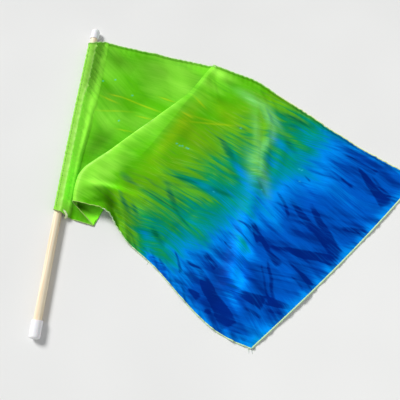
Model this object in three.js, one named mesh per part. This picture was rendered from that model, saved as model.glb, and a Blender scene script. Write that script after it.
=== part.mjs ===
// A silk flag on a wooden dowel, lying on a flat surface at z = 0.
// Millimetres. +Y runs up the pole, +X towards the fly edge and +Z up.
// The shapes are worked out from the pole's lower end, and the group is centred over its origin at the end.
import * as THREE from "three";
import { mergeVertices } from "three/addons/utils/BufferGeometryUtils.js";

// Pole: a bowed round stick in two caps, all on one axis above the floor.
const POLE_LENGTH = 604;
const POLE_BOW = 2.6;
const POLE_SIDES = 24;
const DOWEL_RADIUS = 7;
const DOWEL_BENDS = 12;
const CAP_WALL_GAP = 0.3;
const CAP_RIM = 0.5;
const CAP_ARC_STEPS = 5;
const CAP_TOP = { radius: 8, length: 21, dome: 7, floor: 7 };
const CAP_BOTTOM = { radius: 9.4, length: 29.5, corner: 4.5, floor: 3 };
const AXIS_HEIGHT = CAP_BOTTOM.radius * Math.cos(Math.PI / POLE_SIDES);

// Cloth: one sheet with its thickness, and the middle of a layer that lies on the floor.
const CLOTH_THICKNESS = 1.2;
const FLOOR_LAYER = CLOTH_THICKNESS / 2;
const FOLD_RADIUS = 1.5;

// Sleeve: a spiral round the dowel, from the stitched edge on top to where the panel leaves it.
const SLEEVE_FROM = 215;
const SLEEVE_TO = 567;
const SLEEVE_GAP = 0.45;
const SLEEVE_INNER = DOWEL_RADIUS + SLEEVE_GAP + FLOOR_LAYER;
const SLEEVE_OUTER = 9.85;
const SLEEVE_SAG = { depth: 1.1, power: 6 };
const SLEEVE_START_ANGLE = THREE.MathUtils.degToRad(100);
const SLEEVE_TURN = THREE.MathUtils.degToRad(435);
const SLEEVE_LOOSENS = { from: 0.64, to: 0.81 };
const SLEEVE_END_SLANT = { low: -0.4, high: 0 };

// The panel's lower and upper hems run back to these places on the pole, from this far beside it.
const PANEL_FROM = 212;
const PANEL_TO = 581;
const PANEL_REACHED = 30;

// Fly edge from its lower to its upper corner, with its swell.
const FLY = { lowX: 348, lowY: 20, highX: 626, highY: 341, swell: 6 };

// In the tables every v is a share of the cloth's height, 0 at the bottom hem and 1 at the top hem.
// The hidden fold of the pleat, where the layer under it turns back.
const HIDDEN_FOLD = [
  { v: 0, x: 62, y: 199 },
  { v: 0.08, x: 73, y: 228 },
  { v: 0.36, x: 121, y: 325 },
  { v: 0.6, x: 167, y: 404 },
  { v: 0.83, x: 210, y: 481 },
  { v: 1, x: 246, y: 540 },
];

// The visible fold of the pleat: its place, the height of its centre and its radius.
const VISIBLE_FOLD = [
  { v: 0, x: 21, y: 235, height: 15, radius: 8 },
  { v: 0.05, x: 19.5, y: 257, height: 15, radius: 8 },
  { v: 0.1, x: 21, y: 280, height: 15, radius: 8 },
  { v: 0.15, x: 28.5, y: 300, height: 13, radius: 7 },
  { v: 0.2, x: 42, y: 316, height: 11, radius: 6 },
  { v: 0.3, x: 70, y: 344, height: 8.5, radius: 4 },
  { v: 0.45, x: 110, y: 387, height: 6.5, radius: 2.4 },
  { v: 0.6, x: 148, y: 426, height: 5.6, radius: 1.8 },
  { v: 0.8, x: 196, y: 478, height: 5.4, radius: 1.6 },
  { v: 1, x: 239, y: 545, height: 5.4, radius: 1.6 },
];

// Height of the top layer at distances from the visible fold: the roll, its crest and its far slope.
const ROLL = [
  { v: 0, at20: 26, at45: 26, at70: 18, at95: 6, at120: 2, at150: 1, at190: 0.6 },
  { v: 0.05, at20: 26, at45: 23, at70: 13, at95: 6, at120: 3, at150: 1.5, at190: 0.6 },
  { v: 0.1, at20: 28, at45: 30, at70: 27, at95: 19, at120: 11, at150: 6, at190: 1 },
  { v: 0.15, at20: 25, at45: 29, at70: 28, at95: 22, at120: 15, at150: 9, at190: 2 },
  { v: 0.2, at20: 21, at45: 24, at70: 23, at95: 18, at120: 13, at150: 9, at190: 3 },
  { v: 0.3, at20: 14.5, at45: 15, at70: 13, at95: 11, at120: 8.5, at150: 6, at190: 2 },
  { v: 0.45, at20: 9.5, at45: 9, at70: 8, at95: 6.5, at120: 5, at150: 3, at190: 1 },
  { v: 0.6, at20: 7.5, at45: 7, at70: 6, at95: 4, at120: 2.5, at150: 1.2, at190: 0.6 },
  { v: 0.88, at20: 7, at45: 4.5, at70: 3, at95: 1.5, at120: 0.6, at150: 0.6, at190: 0.6 },
  { v: 1, at20: 7, at45: 4.5, at70: 3, at95: 1.5, at120: 0.6, at150: 0.6, at190: 0.6 },
];
const ROLL_REACH = [20, 45, 70, 95, 120, 150, 190];

// The panel beside the sleeve, from the pole's axis: a dip, the crest of a soft tuck and the groove beyond.
const TUCK = [
  { v: 0, dipX: 12.8, dipZ: 8.3, crestX: 17, crestZ: 5.5, grooveX: 21, grooveZ: 0.6 },
  { v: 0.3, dipX: 12.8, dipZ: 8.3, crestX: 17, crestZ: 6, grooveX: 21.5, grooveZ: 0.6 },
  { v: 0.45, dipX: 14, dipZ: 7.5, crestX: 21, crestZ: 5.5, grooveX: 26, grooveZ: 0.6 },
  { v: 0.6, dipX: 14, dipZ: 8, crestX: 23, crestZ: 4, grooveX: 29, grooveZ: 0.6 },
  { v: 0.75, dipX: 13, dipZ: 9, crestX: 20, crestZ: 3.4, grooveX: 30, grooveZ: 0.6 },
  { v: 1, dipX: 12, dipZ: 9.5, crestX: 19, crestZ: 3.2, grooveX: 29, grooveZ: 0.6 },
];

// How far the bottom and top hems stand off a straight line, at shares of the way to the fly edge.
const BOTTOM_HEM = [
  { t: 0, off: 0 },
  { t: 0.06, off: 10 },
  { t: 0.12, off: 20.5 },
  { t: 0.17, off: 23.5 },
  { t: 0.23, off: 15 },
  { t: 0.32, off: 6 },
  { t: 0.44, off: 4 },
  { t: 0.51, off: 1 },
  { t: 0.64, off: -8 },
  { t: 0.76, off: -14 },
  { t: 0.82, off: -15 },
  { t: 0.91, off: -10.5 },
  { t: 1, off: 0 },
];
const TOP_HEM = [
  { t: 0, off: 0 },
  { t: 0.07, off: 7 },
  { t: 0.13, off: 11.5 },
  { t: 0.22, off: 15.5 },
  { t: 0.34, off: 12.5 },
  { t: 0.49, off: 7.5 },
  { t: 0.6, off: 3 },
  { t: 0.75, off: 0 },
  { t: 1, off: 0 },
];

// The bottom hem's bow dies away up the cloth over this share, and the top hem's grows from this one.
const BOTTOM_HEM_FADE = 0.22;
const TOP_HEM_FROM = 0.5;

// Soft ridges that stand on the lie of the cloth, each along a bend through three places.
const RIDGES = [
  { x1: 351, y1: 442, x2: 351, y2: 332, x3: 301, y3: 114, width: 14, height: 7 },
  { x1: 387, y1: 412, x2: 383, y2: 362, x3: 365, y3: 302, width: 9, height: 2.5 },
  { x1: 98, y1: 240, x2: 114, y2: 213, x3: 124, y3: 177, width: 8, height: 4 },
  { x1: 238, y1: 537, x2: 230, y2: 523, x3: 224, y3: 501, width: 10, height: 6.5 },
  { x1: 230, y1: 513, x2: 241, y2: 481, x3: 271, y3: 441, width: 9, height: 3 },
  { x1: 278, y1: 515, x2: 310, y2: 498, x3: 340, y3: 480, width: 6, height: 2.5 },
];
// A ridge's ends keep this share of its height, and no ridge stands this near to the visible fold.
const RIDGE_END_SHARE = 0.35;
const RIDGE_OFF_FOLD = 12;
const RIDGE_SAMPLES = 12;

// Mesh steps along the cloth from the sleeve to the fly, closer together near the fold, and up it.
const STEPS = { sleeve: 18, drape: 7, under: 5, arc: 2, middle: 4, roundArc: 3, over: 24 };
const OVER_CROWDING = 1.25;
const ROWS = [
  { from: 0, to: 0.3, steps: 10 },
  { from: 0.3, to: 1, steps: 16 },
];

// Small helpers
const mix = (a, b, k) => a + (b - a) * k;
const clamp01 = (k) => Math.min(1, Math.max(0, k));
const ease = (k) => clamp01(k) ** 2 * (3 - 2 * clamp01(k));

// A smooth curve through one column of a table, without overshoot.
function through(xs, ys) {
  const slopes = [];
  for (let i = 0; i < xs.length - 1; i++) slopes.push((ys[i + 1] - ys[i]) / (xs[i + 1] - xs[i]));
  const tangents = xs.map((_, i) => {
    const before = slopes[Math.max(0, i - 1)];
    const after = slopes[Math.min(slopes.length - 1, i)];
    return before * after <= 0 ? 0 : (2 * before * after) / (before + after);
  });
  return (x) => {
    const at = Math.min(Math.max(x, xs[0]), xs[xs.length - 1]);
    let i = 0;
    while (i < xs.length - 2 && at > xs[i + 1]) i++;
    const span = xs[i + 1] - xs[i];
    const k = (at - xs[i]) / span;
    const start = (1 + 2 * k) * (1 - k) ** 2 * ys[i] + k * (1 - k) ** 2 * span * tangents[i];
    const end = k * k * (3 - 2 * k) * ys[i + 1] + k * k * (k - 1) * span * tangents[i + 1];
    return start + end;
  };
}

function columns(table, key) {
  const keys = table.map((row) => row[key]);
  const curves = {};
  for (const name of Object.keys(table[0])) curves[name] = through(keys, table.map((row) => row[name]));
  return curves;
}

const hidden = columns(HIDDEN_FOLD, "v");
const seen = columns(VISIBLE_FOLD, "v");
const roll = columns(ROLL, "v");
const tuck = columns(TUCK, "v");
const bottomHem = columns(BOTTOM_HEM, "t");
const topHem = columns(TOP_HEM, "t");

const poleAxisX = (y) => -POLE_BOW * Math.sin((Math.PI * y) / POLE_LENGTH);

// Height added by the soft ridges at a place on the upper layer.
function ridgeHeight(x, y) {
  let added = 0;
  for (const r of RIDGES) {
    let nearest = Infinity;
    let along = 0;
    for (let i = 0; i <= RIDGE_SAMPLES; i++) {
      const k = i / RIDGE_SAMPLES;
      const px = (1 - k) ** 2 * r.x1 + 2 * k * (1 - k) * r.x2 + k * k * r.x3;
      const py = (1 - k) ** 2 * r.y1 + 2 * k * (1 - k) * r.y2 + k * k * r.y3;
      const away = Math.hypot(x - px, y - py);
      if (away < nearest) {
        nearest = away;
        along = k;
      }
    }
    const fade = mix(RIDGE_END_SHARE, 1, Math.sin(Math.PI * along));
    added += r.height * fade * Math.exp(-((nearest / r.width) ** 2));
  }
  return added;
}

const hiddenFold = (v) => ({ x: hidden.x(v), y: hidden.y(v) });
const visibleFold = (v) => ({ x: seen.x(v), y: seen.y(v) });

// A point of the sleeve or the panel beside it, at x from the pole's axis.
function nearPole(v, x, z) {
  const end = hiddenFold(v);
  const panelBase = mix(PANEL_FROM, PANEL_TO, v);
  const panel = panelBase + ((end.y - panelBase) / end.x) * x;
  const slant = mix(SLEEVE_END_SLANT.low, SLEEVE_END_SLANT.high, v);
  const sleeve = mix(SLEEVE_FROM, SLEEVE_TO, v) + slant * Math.min(x, 0);
  const y = mix(sleeve, panel, ease(x / PANEL_REACHED));
  return new THREE.Vector3(x + poleAxisX(y), y, Math.max(z, FLOOR_LAYER));
}

// The spiral round the dowel.
function sleevePoint(v, k) {
  const angle = SLEEVE_START_ANGLE - SLEEVE_TURN * k;
  const sag = SLEEVE_SAG.depth * Math.max(0, -Math.sin(angle)) ** SLEEVE_SAG.power;
  const loosened = ease((k - SLEEVE_LOOSENS.from) / (SLEEVE_LOOSENS.to - SLEEVE_LOOSENS.from));
  const radius = mix(SLEEVE_INNER, SLEEVE_OUTER, loosened) + sag;
  return nearPole(v, radius * Math.cos(angle), AXIS_HEIGHT + radius * Math.sin(angle));
}

// From the top of the sleeve down to the floor, over the tuck.
function drapePoint(v, k) {
  const from = sleevePoint(v, 1);
  const fromX = from.x - poleAxisX(from.y);
  const xs = [fromX, tuck.dipX(v), tuck.crestX(v), tuck.grooveX(v)];
  const zs = [from.z, tuck.dipZ(v), tuck.crestZ(v), tuck.grooveZ(v)];
  const x = mix(xs[0], xs[3], k);
  return nearPole(v, x, through(xs, zs)(x));
}

// A point of the top layer, t of the way from the visible fold to the fly edge.
function overPoint(v, t, start) {
  const flyLength = Math.hypot(FLY.highX - FLY.lowX, FLY.highY - FLY.lowY);
  const swell = (FLY.swell * Math.sin(Math.PI * v)) / flyLength;
  const endX = mix(FLY.lowX, FLY.highX, v) + swell * (FLY.highY - FLY.lowY);
  const endY = mix(FLY.lowY, FLY.highY, v) - swell * (FLY.highX - FLY.lowX);
  const length = Math.hypot(endX - start.x, endY - start.y);
  const alongX = (endX - start.x) / length;
  const alongY = (endY - start.y) / length;
  const topShare = ease((v - TOP_HEM_FROM) / (1 - TOP_HEM_FROM));
  const off = bottomHem.off(t) * Math.exp(-v / BOTTOM_HEM_FADE) + topHem.off(t) * topShare;
  return {
    x: mix(start.x, endX, t) - alongY * off,
    y: mix(start.y, endY, t) + alongX * off,
    length,
  };
}

function rollHeight(v, distance, startHeight) {
  const heights = [startHeight, ...ROLL_REACH.map((reach) => roll["at" + reach](v))];
  return through([0, ...ROLL_REACH], heights)(distance);
}

// One row of the cloth, from the sleeve's stitched edge through the pleat to the fly edge.
function clothRow(v) {
  const row = [];
  for (let i = 0; i < STEPS.sleeve; i++) row.push(sleevePoint(v, i / STEPS.sleeve));
  for (let i = 0; i < STEPS.drape; i++) row.push(drapePoint(v, i / STEPS.drape));

  const groove = drapePoint(v, 1);
  const back = hiddenFold(v);
  const front = visibleFold(v);
  const underLength = Math.hypot(back.x - groove.x, back.y - groove.y);
  const middleLength = Math.hypot(front.x - back.x, front.y - back.y);
  const radius = seen.radius(v);
  const centre = seen.height(v);
  const under = (d) => [mix(back.x, groove.x, d / underLength), mix(back.y, groove.y, d / underLength)];
  const middle = (d) => [mix(back.x, front.x, d / middleLength), mix(back.y, front.y, d / middleLength)];

  for (let i = 0; i < STEPS.under; i++) {
    const d = mix(underLength, FOLD_RADIUS, i / STEPS.under);
    row.push(new THREE.Vector3(...under(d), FLOOR_LAYER));
  }
  for (let i = 0; i < STEPS.arc; i++) {
    const angle = ((Math.PI / 2) * i) / STEPS.arc;
    const d = FOLD_RADIUS * (1 - Math.sin(angle));
    row.push(new THREE.Vector3(...under(d), FLOOR_LAYER + FOLD_RADIUS * (1 - Math.cos(angle))));
  }
  for (let i = 0; i < STEPS.arc; i++) {
    const angle = ((Math.PI / 2) * i) / STEPS.arc;
    const d = FOLD_RADIUS * (1 - Math.cos(angle));
    row.push(new THREE.Vector3(...middle(d), FLOOR_LAYER + FOLD_RADIUS * (1 + Math.sin(angle))));
  }
  const middleLow = FLOOR_LAYER + 2 * FOLD_RADIUS;
  const middleHigh = centre - radius;
  for (let i = 0; i < STEPS.middle; i++) {
    const k = i / STEPS.middle;
    const d = mix(FOLD_RADIUS, middleLength - radius, k);
    row.push(new THREE.Vector3(...middle(d), mix(middleLow, middleHigh, ease(k))));
  }
  for (let i = 0; i < STEPS.roundArc; i++) {
    const angle = ((Math.PI / 2) * i) / STEPS.roundArc;
    const d = middleLength - radius * (1 - Math.sin(angle));
    row.push(new THREE.Vector3(...middle(d), centre - radius * Math.cos(angle)));
  }
  const { length } = overPoint(v, 0, front);
  for (let i = 0; i < STEPS.roundArc; i++) {
    const angle = ((Math.PI / 2) * i) / STEPS.roundArc;
    const place = overPoint(v, (radius * (1 - Math.cos(angle))) / length, front);
    row.push(new THREE.Vector3(place.x, place.y, centre + radius * Math.sin(angle)));
  }
  for (let i = 0; i <= STEPS.over; i++) {
    const t = mix(radius / length, 1, (i / STEPS.over) ** OVER_CROWDING);
    const place = overPoint(v, t, front);
    const d = t * length - radius;
    const ridge = ridgeHeight(place.x, place.y) * ease(d / RIDGE_OFF_FOLD);
    const height = rollHeight(v, d, centre + radius) + ridge;
    row.push(new THREE.Vector3(place.x, place.y, Math.max(FLOOR_LAYER, height)));
  }
  return row;
}

function clothRows() {
  const rows = [];
  for (const band of ROWS) {
    for (let i = 0; i < band.steps; i++) rows.push(clothRow(mix(band.from, band.to, i / band.steps)));
  }
  rows.push(clothRow(1));
  return rows;
}

// A closed solid with the sheet's thickness half on each side of a grid of points.
function sheetGeometry(rows, thickness) {
  const high = rows.length;
  const wide = rows[0].length;
  const faces = [];
  const positions = [];
  const across = new THREE.Vector3();
  const up = new THREE.Vector3();
  for (const side of [1, -1]) {
    for (let j = 0; j < high; j++) {
      for (let i = 0; i < wide; i++) {
        across.subVectors(rows[j][Math.min(i + 1, wide - 1)], rows[j][Math.max(i - 1, 0)]);
        up.subVectors(rows[Math.min(j + 1, high - 1)][i], rows[Math.max(j - 1, 0)][i]);
        const normal = across.cross(up).normalize();
        const point = rows[j][i].clone().addScaledVector(normal, (side * thickness) / 2);
        positions.push(point.x, point.y, Math.max(point.z, 0));
      }
    }
  }
  const upper = (i, j) => j * wide + i;
  const lower = (i, j) => high * wide + j * wide + i;
  const quad = (a, b, c, d) => faces.push(a, b, c, a, c, d);
  for (let j = 0; j < high - 1; j++) {
    for (let i = 0; i < wide - 1; i++) {
      quad(upper(i, j), upper(i + 1, j), upper(i + 1, j + 1), upper(i, j + 1));
      quad(lower(i, j), lower(i, j + 1), lower(i + 1, j + 1), lower(i + 1, j));
    }
    quad(upper(0, j + 1), lower(0, j + 1), lower(0, j), upper(0, j));
    quad(upper(wide - 1, j), lower(wide - 1, j), lower(wide - 1, j + 1), upper(wide - 1, j + 1));
  }
  for (let i = 0; i < wide - 1; i++) {
    quad(upper(i, 0), lower(i, 0), lower(i + 1, 0), upper(i + 1, 0));
    quad(upper(i + 1, high - 1), lower(i + 1, high - 1), lower(i, high - 1), upper(i, high - 1));
  }
  const geometry = new THREE.BufferGeometry();
  geometry.setAttribute("position", new THREE.Float32BufferAttribute(positions, 3));
  geometry.setIndex(faces);
  return geometry;
}

// Pole pieces are turned round the Y axis, then bowed with the stick and lifted to its height.
function onPole(geometry) {
  geometry.deleteAttribute("normal");
  geometry.deleteAttribute("uv");
  const merged = mergeVertices(geometry, 1e-4);
  const place = merged.getAttribute("position");
  for (let i = 0; i < place.count; i++) {
    place.setX(i, place.getX(i) + poleAxisX(place.getY(i)));
    place.setZ(i, place.getZ(i) + AXIS_HEIGHT);
  }
  return merged;
}

function dowelGeometry() {
  const from = CAP_BOTTOM.floor + CAP_WALL_GAP;
  const to = POLE_LENGTH - CAP_TOP.floor - CAP_WALL_GAP;
  const stick = new THREE.CylinderGeometry(DOWEL_RADIUS, DOWEL_RADIUS, to - from, POLE_SIDES, DOWEL_BENDS);
  return onPole(stick.translate(0, (from + to) / 2, 0));
}

// A cap's profile from its closed end: radius against distance along the pole, with the socket for the stick.
function capProfile(cap, endPoints) {
  const socket = DOWEL_RADIUS + CAP_WALL_GAP;
  return [
    ...endPoints,
    new THREE.Vector2(cap.radius, cap.length - CAP_RIM),
    new THREE.Vector2(cap.radius - CAP_RIM, cap.length),
    new THREE.Vector2(socket, cap.length),
    new THREE.Vector2(socket, cap.floor),
    new THREE.Vector2(0, cap.floor),
  ];
}

function capGeometry(profile) {
  return new THREE.LatheGeometry(profile, POLE_SIDES, Math.PI / POLE_SIDES);
}

function bottomCapGeometry() {
  const points = [new THREE.Vector2(0, 0)];
  for (let i = 0; i <= CAP_ARC_STEPS; i++) {
    const angle = ((Math.PI / 2) * i) / CAP_ARC_STEPS;
    const radius = CAP_BOTTOM.radius - CAP_BOTTOM.corner * (1 - Math.sin(angle));
    points.push(new THREE.Vector2(radius, CAP_BOTTOM.corner * (1 - Math.cos(angle))));
  }
  return onPole(capGeometry(capProfile(CAP_BOTTOM, points)));
}

function topCapGeometry() {
  const points = [new THREE.Vector2(0, 0)];
  for (let i = 1; i <= CAP_ARC_STEPS; i++) {
    const angle = ((Math.PI / 2) * i) / CAP_ARC_STEPS;
    points.push(new THREE.Vector2(CAP_TOP.radius * Math.sin(angle), CAP_TOP.dome * (1 - Math.cos(angle))));
  }
  const cap = capGeometry(capProfile(CAP_TOP, points));
  return onPole(cap.rotateX(Math.PI).translate(0, POLE_LENGTH, 0));
}

function piece(name, geometry, color, roughness) {
  const mesh = new THREE.Mesh(geometry, new THREE.MeshStandardMaterial({ color, roughness, metalness: 0 }));
  mesh.name = name;
  return mesh;
}

const flag = new THREE.Group();
flag.add(piece("flag", sheetGeometry(clothRows(), CLOTH_THICKNESS), 0x4fb83a, 0.5));
flag.add(piece("dowel", dowelGeometry(), 0xe9cfa0, 0.6));
flag.add(piece("cap_top", topCapGeometry(), 0xf1ecf0, 0.45));
flag.add(piece("cap_bottom", bottomCapGeometry(), 0xf1ecf0, 0.45));

// The origin is under the middle of the whole part, on the floor.
const extent = new THREE.Box3().setFromObject(flag);
const middle = extent.getCenter(new THREE.Vector3());
flag.position.set(-middle.x, -middle.y, -extent.min.z);

export default flag;
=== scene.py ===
import math
from types import SimpleNamespace as Numbers

import bpy
import numpy as np
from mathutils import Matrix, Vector


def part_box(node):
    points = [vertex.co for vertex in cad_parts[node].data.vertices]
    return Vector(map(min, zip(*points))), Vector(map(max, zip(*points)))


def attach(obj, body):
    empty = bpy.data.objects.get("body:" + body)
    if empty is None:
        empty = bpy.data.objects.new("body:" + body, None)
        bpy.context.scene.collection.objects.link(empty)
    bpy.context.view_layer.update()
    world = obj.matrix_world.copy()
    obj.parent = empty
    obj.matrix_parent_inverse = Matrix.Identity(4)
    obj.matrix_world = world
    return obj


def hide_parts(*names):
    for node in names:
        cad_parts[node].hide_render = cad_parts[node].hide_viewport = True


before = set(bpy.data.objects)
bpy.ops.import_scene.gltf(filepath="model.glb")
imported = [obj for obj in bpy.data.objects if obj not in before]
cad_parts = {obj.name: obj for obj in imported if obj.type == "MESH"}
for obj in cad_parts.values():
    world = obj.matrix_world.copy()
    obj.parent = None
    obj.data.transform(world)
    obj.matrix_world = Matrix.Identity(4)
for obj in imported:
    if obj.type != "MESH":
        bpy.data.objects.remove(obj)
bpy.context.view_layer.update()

MM = 0.001
rng = np.random.default_rng(11)

# Pole
POLE_LENGTH = 604
POLE_TOP = 601.5
POLE_BOW = 2.6
DOWEL_RADIUS = 7
CAP_WALL_GAP = 0.3
CAP_TOP = Numbers(radius=8, length=24, dome=7, floor=7)
CAP_BOTTOM = Numbers(radius=9.4, length=29.5, corner=4.5, floor=3)
AXIS_HEIGHT = 9.32

# Cloth
FLOOR_LAYER = 0.6
FOLD_RADIUS = Numbers(low=0.7, top=0.25, start=0.75)
HEM_RADIUS = 1.1
SLEEVE_FROM = 215
SLEEVE_TO = 561
SLEEVE_INNER = 7.9
SLEEVE_OUTER = 10.2
SLEEVE_SAG = Numbers(depth=1.1, power=6)
SLEEVE_START_ANGLE = math.radians(100)
SLEEVE_TURN = math.radians(435)
SLEEVE_LOOSENS = Numbers(start=0.64, end=0.81)
SLEEVE_END_SLANT = Numbers(low=-0.4, high=0)
PANEL_FROM = 212
PANEL_TO = 581
PANEL_REACHED = 22
FLY = Numbers(low=(348, 20), high=(626, 341), swell=6)
BOTTOM_HEM_FADE = 0.22
TOP_HEM_FROM = 0.5

# In the tables v is a share of the cloth's height, 0 at the bottom hem and 1 at the top hem.
HIDDEN_FOLD = {
    "v": (0, 0.08, 0.36, 0.6, 0.83, 1),
    "x": (62, 73, 121, 167, 210, 246),
    "y": (199, 228, 325, 404, 481, 540),
}
VISIBLE_FOLD = {
    "v": (0, 0.05, 0.1, 0.15, 0.2, 0.3, 0.45, 0.6, 0.8, 1),
    "x": (21, 19.5, 21, 28.5, 42, 70, 110, 148, 196, 239),
    "y": (235, 257, 280, 300, 316, 344, 387, 426, 478, 545),
    "height": (15, 15, 15, 13, 11, 8, 5.4, 4, 2.8, 1.3),
    "radius": (8, 8, 8, 7, 6, 4, 2, 1.4, 0.8, 0.25),
}
# Height of the top layer at distances from the visible fold.
ROLL = {
    "v": (0, 0.05, 0.1, 0.15, 0.2, 0.3, 0.45, 0.6, 0.88, 1),
    20: (26, 26, 28, 25, 21, 14.5, 8.5, 6.2, 3.6, 1.8),
    45: (26, 23, 30, 29, 24, 15, 8.5, 6, 3.2, 1.5),
    70: (18, 13, 27, 28, 23, 13, 7.5, 5, 2.2, 1.2),
    95: (6, 6, 19, 22, 18, 11, 6.5, 4, 1.5, 1.5),
    120: (2, 3, 11, 15, 13, 8.5, 5, 2.5, 0.6, 0.6),
    150: (1, 1.5, 6, 9, 9, 6, 3, 1.2, 0.6, 0.6),
    190: (0.6, 0.6, 1, 2, 3, 2, 1, 0.6, 0.6, 0.6),
}
ROLL_REACH = (20, 45, 70, 95, 120, 150, 190)
TUCK = {
    "v": (0, 0.3, 0.45, 0.6, 0.75, 1),
    "dip_x": (12.8, 12.8, 14, 14, 13, 12),
    "dip_z": (8.3, 8.3, 7.5, 8, 9, 9.5),
    "crest_x": (17, 17, 21, 23, 20, 19),
    "crest_z": (5.5, 6, 5.5, 4, 3.4, 3.2),
    "groove_x": (21, 21.5, 26, 29, 30, 29),
    "groove_z": (0.6, 0.6, 0.6, 0.6, 0.6, 0.6),
}
# How far the hems stand off a straight line, at shares t of the way to the fly edge.
BOTTOM_HEM = {
    "t": (0, 0.06, 0.12, 0.17, 0.23, 0.32, 0.44, 0.51, 0.64, 0.76, 0.82, 0.91, 1),
    "off": (0, 10, 20.5, 23.5, 15, 6, 4, 1, -8, -14, -15, -10.5, 0),
}
TOP_HEM = {
    "t": (0, 0.07, 0.13, 0.22, 0.34, 0.49, 0.6, 0.75, 1),
    "off": (0, 7, 11.5, 15.5, 12.5, 7.5, 3, 0, 0),
}

# Creases on the upper side: x and y of a crease's start, of the point that bends it and of its end, then
# its width and its height, under 0 for a trough.
CREASES = (
    # The broad ridge across the panel, and the finer ones in it
    (351, 442, 351, 332, 301, 114, 14, 7), (387, 412, 383, 362, 365, 302, 9, 2.5),
    (344, 436, 345, 380, 341, 324, 3.5, -2.2), (331, 463, 334, 409, 332, 359, 4, 1.5),
    (354, 454, 357, 395, 355, 339, 4, 1.5), (328, 459, 344, 445, 361, 426, 3, -1),
    (322, 250, 318, 168, 296, 90, 12, 4),
    # The roll at the lower end of the long fold
    (98, 240, 114, 213, 124, 177, 8, 4), (58, 234, 76, 243, 94, 227, 8, -8),
    (86, 243, 97, 224, 105, 198, 7, -7), (104, 237, 115, 207, 127, 176, 6, 3),
    (40, 262, 78, 268, 140, 249, 7, 5),
    # The upper end of the long fold, where it fans out under the top hem
    (230, 513, 241, 481, 271, 441, 9, 3), (239, 523, 247, 496, 255, 471, 3, 1),
    (227, 506, 238, 480, 253, 447, 3, 0.8), (258, 531, 273, 505, 282, 471, 4, 0.8),
    # Along the top hem
    (278, 515, 310, 498, 340, 480, 6, 2.5), (332, 500, 339, 487, 351, 458, 3, 1.4),
    (353, 489, 358, 474, 371, 451, 3, 1.2), (381, 476, 383, 462, 393, 445, 3, 1),
)
# Bends that lift every layer of the long fold's upper end.
LIFTS = (
    (243, 548, 232, 523, 224, 497, 11, 5), (224, 497, 200, 460, 160, 424, 7, 1.5),
)
CREASE_END_SHARE = 0.35
CREASE_OFF_FOLD = 12

# Steps along the cloth from the sleeve to the fly, and up it.
STEPS = {"sleeve": 44, "drape": 16, "under": 84, "arc": 5, "middle": 18, "round_arc": 7, "over": 206}
OVER_CROWDING = 1.12
ROWS = 226


def mix(a, b, k):
    return a + (b - a) * k


def ease(k):
    k = np.clip(k, 0, 1)
    return k * k * (3 - 2 * k)


def bell(k):
    """1 in the middle, fading to 0 on both sides."""
    return np.exp(-(k ** 2))


def through(xs, ys, x):
    """A smooth curve through one row of a table, without overshoot."""
    xs = np.asarray(xs, float)
    ys = np.asarray(ys, float)
    slopes = np.diff(ys) / np.diff(xs)
    before = np.concatenate([slopes[:1], slopes])
    after = np.concatenate([slopes, slopes[-1:]])
    same = before * after > 0
    tangents = np.where(same, 2 * before * after / np.where(same, before + after, 1), 0)
    x = np.clip(x, xs[0], xs[-1])
    i = np.clip(np.searchsorted(xs, x, side="right") - 1, 0, len(xs) - 2)
    span = xs[i + 1] - xs[i]
    k = (x - xs[i]) / span
    start = (1 + 2 * k) * (1 - k) ** 2 * ys[i] + k * (1 - k) ** 2 * span * tangents[i]
    end = k * k * (3 - 2 * k) * ys[i + 1] + k * k * (k - 1) * span * tangents[i + 1]
    return start + end


def column(table, name, at, key="v"):
    return through(table[key], table[name], at)


def fold_place(fold, v):
    return np.array([column(fold, "x", v), column(fold, "y", v)])


def pole_axis_x(y):
    return -POLE_BOW * np.sin(np.pi * y / POLE_LENGTH)


# The lie of the cloth
def near_pole(v, x, z):
    """Places in the sleeve or the panel beside it, at x from the pole's axis."""
    end_x, end_y = fold_place(HIDDEN_FOLD, v)
    base = mix(PANEL_FROM, PANEL_TO, v)
    panel = base + (end_y - base) / end_x * x
    slant = mix(SLEEVE_END_SLANT.low, SLEEVE_END_SLANT.high, v)
    sleeve = mix(SLEEVE_FROM, SLEEVE_TO, v) + slant * np.minimum(x, 0)
    y = mix(sleeve, panel, ease(x / PANEL_REACHED))
    return np.stack([x + pole_axis_x(y), y, np.maximum(z, FLOOR_LAYER)], -1)


def sleeve_points(v, k):
    angle = SLEEVE_START_ANGLE - SLEEVE_TURN * k
    sag = SLEEVE_SAG.depth * np.maximum(0, -np.sin(angle)) ** SLEEVE_SAG.power
    loosened = ease((k - SLEEVE_LOOSENS.start) / (SLEEVE_LOOSENS.end - SLEEVE_LOOSENS.start))
    radius = mix(SLEEVE_INNER, SLEEVE_OUTER, loosened) + sag
    return near_pole(v, radius * np.cos(angle), AXIS_HEIGHT + radius * np.sin(angle))


def drape_points(v, k):
    start = sleeve_points(v, np.array([1.0]))[0]
    start_x = start[0] - pole_axis_x(start[1])
    xs = [start_x] + [float(column(TUCK, bend + "_x", v)) for bend in ("dip", "crest", "groove")]
    zs = [start[2]] + [float(column(TUCK, bend + "_z", v)) for bend in ("dip", "crest", "groove")]
    x = mix(xs[0], xs[3], k)
    return near_pole(v, x, through(xs, zs, x))


def over_places(v, t, start):
    low, high = np.array(FLY.low, float), np.array(FLY.high, float)
    swell = FLY.swell * math.sin(math.pi * v) / np.hypot(*(high - low))
    end = mix(low, high, v) + swell * np.array([high[1] - low[1], low[0] - high[0]])
    length = np.hypot(*(end - start))
    along = (end - start) / length
    top_share = ease((v - TOP_HEM_FROM) / (1 - TOP_HEM_FROM))
    off = column(BOTTOM_HEM, "off", t, "t") * math.exp(-v / BOTTOM_HEM_FADE)
    off = off + column(TOP_HEM, "off", t, "t") * top_share
    places = start + np.outer(t, end - start) + np.outer(off, [-along[1], along[0]])
    return places, length


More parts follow.
